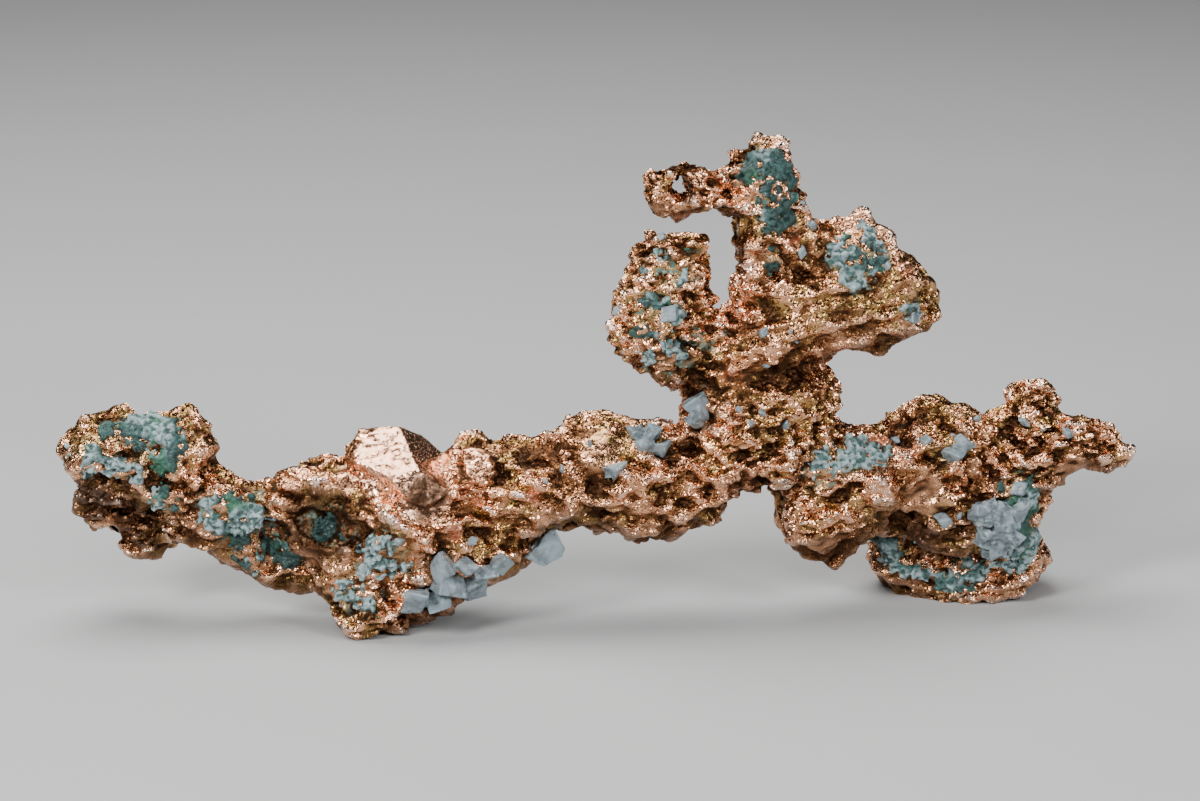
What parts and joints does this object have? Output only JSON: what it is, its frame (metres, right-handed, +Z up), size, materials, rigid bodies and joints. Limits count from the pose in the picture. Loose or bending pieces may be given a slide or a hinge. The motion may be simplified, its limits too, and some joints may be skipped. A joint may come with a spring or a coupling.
{
  "type": "native copper nugget",
  "caption": "Branching native copper nugget on two feet: a long left limb, a short right limb and a forked tower, with pale calcite crystals and blue-green crusts grown on it.",
  "frame": {"origin": "middle of the footprint, on the surface that the two feet stand on", "axes": "+Z up, +X along the nugget's length towards the short limb, -Y towards the display face"},
  "size_m": [0.1078, 0.0268, 0.049],
  "materials": {
    "copper": "bright crumpled native copper with orange-brown hollows and golden tarnish",
    "crust": "rough granular blue-green crust, dark teal to pale grey-green",
    "calcite": "translucent white to grey calcite with a waxy shine"
  },
  "bodies": {
    "root": {"calcite_bar_single": "calcite", "calcite_drop": "calcite", "calcite_left_foot": "calcite", "calcite_right_arm": "calcite", "calcite_right_foot": "calcite", "calcite_shoulder": "calcite", "calcite_tower_foot": "calcite", "copper_left_limb": "copper", "copper_right_limb": "copper", "copper_slit_lobe": "copper", "copper_tower": "copper", "crust_back_bar": "crust", "crust_back_right_arm": "crust", "crust_back_tower": "crust", "crust_body_pocket": "crust", "crust_crown": "crust", "crust_crown_top": "crust", "crust_left_end": "crust", "crust_left_end_low": "crust", "crust_left_end_middle": "crust", "crust_left_end_tip": "crust", "crust_left_foot": "crust", "crust_left_foot_low": "crust", "crust_lobe_base": "crust", "crust_lobe_lower": "crust", "crust_lobe_upper": "crust", "crust_neck": "crust", "crust_neck_top": "crust", "crust_neck_under": "crust", "crust_right_arm": "crust", "crust_right_arm_middle": "crust", "crust_right_foot_band": "crust", "crust_right_foot_patch": "crust", "crust_right_foot_side": "crust", "crust_right_lobe": "crust", "crust_right_lobe_tip": "crust", "crust_slit_foot": "crust", "crust_stem_pit": "crust"}
  },
  "joints": []
}
